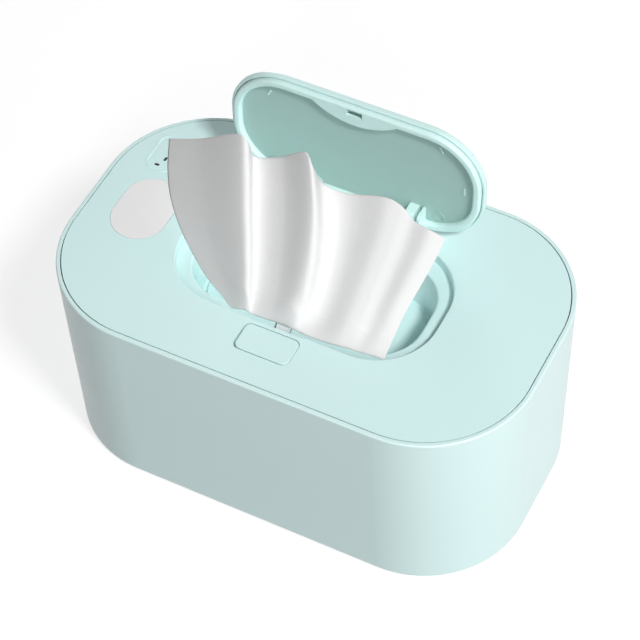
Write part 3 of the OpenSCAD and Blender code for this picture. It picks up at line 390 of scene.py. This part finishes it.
def wipe_fabric():
    """Non-woven fabric: long crossed fibres and small pressed dimples, on the sheet's own UV."""
    material, flat = start("wipe_fabric", "UV")
    sheet = flat.stretched(WIPE_FLAT[0], WIPE_FLAT[1], 1.0)
    along = sheet.stretched(1.0, 0.12, 1.0).noise(2600.0, 4.0, 0.6, 0.6)
    across = sheet.stretched(0.14, 1.0, 1.0).noise(2100.0, 3.0, 0.6, 0.8)
    pressed = sheet.cells(620.0)
    cloudy = sheet.noise(55.0, 4.0, 0.6)
    fibres = 0.5 * along + 0.5 * across
    colour = (0.6 * fibres + 0.4 * cloudy).blend(tone(224, 224, 224), tone(210, 210, 210))
    height = fibres + 0.35 * pressed
    return end(material, flat, base_color=colour, roughness=0.86 + 0.1 * cloudy,
               normal=height.bump(0.25, 0.0003), specular_ior_level=0.25, sheen_weight=0.15)


def dress_nodes():
    """Gives every node of the model its finish, by the record's slots and by piece."""
    finishes = {
        "mint_plastic": mint_cover(), "inner_plastic": mint_inside(), "grey_window": pale_window(),
        "dark_plastic": dark_moulding(), "white_plastic": white_moulding(),
        "silicone": soft_silicone(), "rubber": foot_rubber(), "steel": drawn_steel(),
        "aluminium": rolled_aluminium(), "heater_laminate": heater_laminate(),
        "foam": closed_foam(), "circuit_board": solder_mask(), "plated_contact": gold_plate(),
        "wipe": wipe_fabric(),
    }
    case = mint_case()
    by_piece = {"body_shell": case, "base_plate": case, "lid_skin": mint_lid(),
                "lid_liner": mint_liner()}
    for part in frame["record"]["subparts"]:
        name = part["node"]
        for slot in NODES[name].material_slots:
            slot.material = by_piece.get(name, finishes[part["material_slot"]])
    return finishes


def smooth(share):
    """From 0 to 1 with a soft start and end, and level beyond them."""
    share = min(max(share, 0.0), 1.0)
    return share * share * (3 - 2 * share)


def station(place):
    """The wipe's values at a place between two stations, on a Catmull-Rom curve."""
    last = len(WIPE_STATIONS) - 1
    first = min(int(place), last - 1)
    part = place - first
    a, b, c, d = (WIPE_STATIONS[min(max(first + step, 0), last)] for step in (-1, 0, 1, 2))
    return [0.5 * (2 * q + (r - p) * part + (2 * p - 5 * q + 4 * r - s) * part ** 2
                   + (3 * q - p - 3 * r + s) * part ** 3) for p, q, r, s in zip(a, b, c, d)]


def curve(points, share):
    """Value at a share of the sheet's width, on a smooth curve through the points."""
    last = len(points) - 1
    first = 0
    while first < last - 1 and share > points[first + 1][0]:
        first += 1

    def slope(index):
        before, after = points[max(index - 1, 0)], points[min(index + 1, last)]
        return (after[1] - before[1]) / (after[0] - before[0])

    (here, value), (there, other) = points[first], points[first + 1]
    width = there - here
    part = (share - here) / width
    bent = slope(first) * (1 - part) - slope(first + 1) * part
    return value + (other - value) * part * part * (3 - 2 * part) + width * part * (1 - part) * bent


def wipe_point(share, height):
    """A point of the wipe: share of its width from the left, share of its height."""
    top = len(WIPE_STATIONS) - 1
    place = height * top
    y, z, left, right, strength, squeeze, set_back = station(place)
    starts, ends = GATHER_FADES
    gathered = GATHER_DEPTH * (1 - smooth((place - starts) / (ends - starts)))
    fold = 1 - math.cos(2 * math.pi * GATHER_FOLDS * share)
    y += strength * curve(WIPE_PLEATS, share) + gathered * fold
    y += set_back * (1 - smooth((1 - share) / SET_BACK_SHARE))
    rise = max(place - BOW_FROM, 0) / (top - BOW_FROM)
    bow = BOW_WIDTH * math.sin(math.pi * min(rise, 1) ** BOW_LATE)
    across = share + squeeze * curve(WIPE_SQUEEZE, share) + bow * curve(WIPE_BOW, share)
    pulled = strength * curve(WIPE_PEAKS, share) * WIPE_PULL
    return (Vector((left + (right - left) * across, y, z)) + pulled) * MM


def make_wipe(finish):
    """The wipe as it stands out of the slot, a thin sheet."""
    mesh = bpy.data.meshes.new("wipe")
    sheet = bmesh.new()
    sheet.loops.layers.uv.new("UVMap")
    bmesh.ops.create_grid(sheet, x_segments=WIPE_COLUMNS, y_segments=WIPE_ROWS, size=0.5,
                          calc_uvs=True)
    for vertex in sheet.verts:
        vertex.co = wipe_point(vertex.co.x + 0.5, vertex.co.y + 0.5)
    for face in sheet.faces:
        face.smooth = True
    sheet.to_mesh(mesh)
    sheet.free()
    wipe = bpy.data.objects.new("wipe", mesh)
    bpy.context.scene.collection.objects.link(wipe)
    thick = wipe.modifiers.new("thickness", "SOLIDIFY")
    thick.thickness = WIPE_THICK
    thick.offset = 0
    mesh.materials.append(finish)
    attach(wipe, "cover")
    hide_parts("wipe_sheet")
    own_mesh(wipe)
    return wipe


def make_camera():
    camera = bpy.data.objects.new("camera", bpy.data.cameras.new("camera"))
    bpy.context.scene.collection.objects.link(camera)
    turn = Matrix((CAMERA_RIGHT, CAMERA_UP, CAMERA_BACK)).transposed().to_4x4()
    camera.matrix_world = Matrix.Translation(CAMERA_PLACE) @ turn
    camera.data.lens = LENS_MM
    camera.data.sensor_width = SENSOR_MM
    camera.data.clip_start = NEAR_CLIP
    bpy.context.scene.camera = camera


def make_lamp(name, place, size, watts, passes):
    """A square lamp that faces the warmer. The thin wipe lets its light pass."""
    lamp = bpy.data.lights.new(name, "AREA")
    lamp.size = size
    lamp.energy = watts
    holder = bpy.data.objects.new(name, lamp)
    bpy.context.scene.collection.objects.link(holder)
    holder.location = place
    holder.rotation_euler = (AIM - Vector(place)).to_track_quat("-Z", "Y").to_euler()
    let_through = bpy.data.collections.new(name + "_passes")
    let_through.objects.link(passes)
    let_through.collection_objects[0].light_linking.link_state = "EXCLUDE"
    holder.light_linking.blocker_collection = let_through


def seen_rays(where):
    """1 for rays that look at a surface directly, in a reflection or through glass."""
    camera, glossy, through = (where.node("ShaderNodeLightPath", {}, {}, name) for name in (
        "Is Camera Ray", "Is Glossy Ray", "Is Transmission Ray"))
    return (camera + glossy + through).clip()


def make_floor():
    """Pale floor that reads as white and still takes the warmer's shadow."""
    mesh = bpy.data.meshes.new("floor")
    flat = bmesh.new()
    bmesh.ops.create_grid(flat, x_segments=1, y_segments=1, size=FLOOR_SIZE / 2)
    flat.to_mesh(mesh)
    flat.free()
    floor = bpy.data.objects.new("floor", mesh)
    bpy.context.scene.collection.objects.link(floor)
    material, place = start("pale_floor")
    grey = (FLOOR_TONE, FLOOR_TONE, FLOOR_TONE, 1)
    matt = place.node("ShaderNodeBsdfDiffuse", {}, {"Color": grey})
    glow = place.node("ShaderNodeEmission", {}, {
        "Color": (1, 1, 1, 1), "Strength": seen_rays(place) * FLOOR_GLOW})
    both = place.node("ShaderNodeAddShader", {}, {"Shader": matt, "Shader_001": glow})
    place.node("ShaderNodeOutputMaterial", {}, {"Surface": both})
    mesh.materials.append(material)


def make_world():
    world = bpy.data.worlds.new("studio")
    world.use_nodes = True
    world.node_tree.nodes.clear()
    root = Socket(world.node_tree)
    seen = seen_rays(root)
    strength = SKY_STRENGTH + (1 - SKY_STRENGTH) * seen
    sky = root.node("ShaderNodeBackground", {}, {"Color": (1, 1, 1, 1), "Strength": strength})
    root.node("ShaderNodeOutputWorld", {}, {"Surface": sky})
    bpy.context.scene.world = world


make_camera()
finishes = dress_nodes()
wipe = make_wipe(finishes["wipe"])
for name, (place, size, watts) in LAMPS.items():
    make_lamp(name, place, size, watts, passes=wipe)
make_floor()
make_world()
bpy.context.scene.view_settings.view_transform = "Standard"
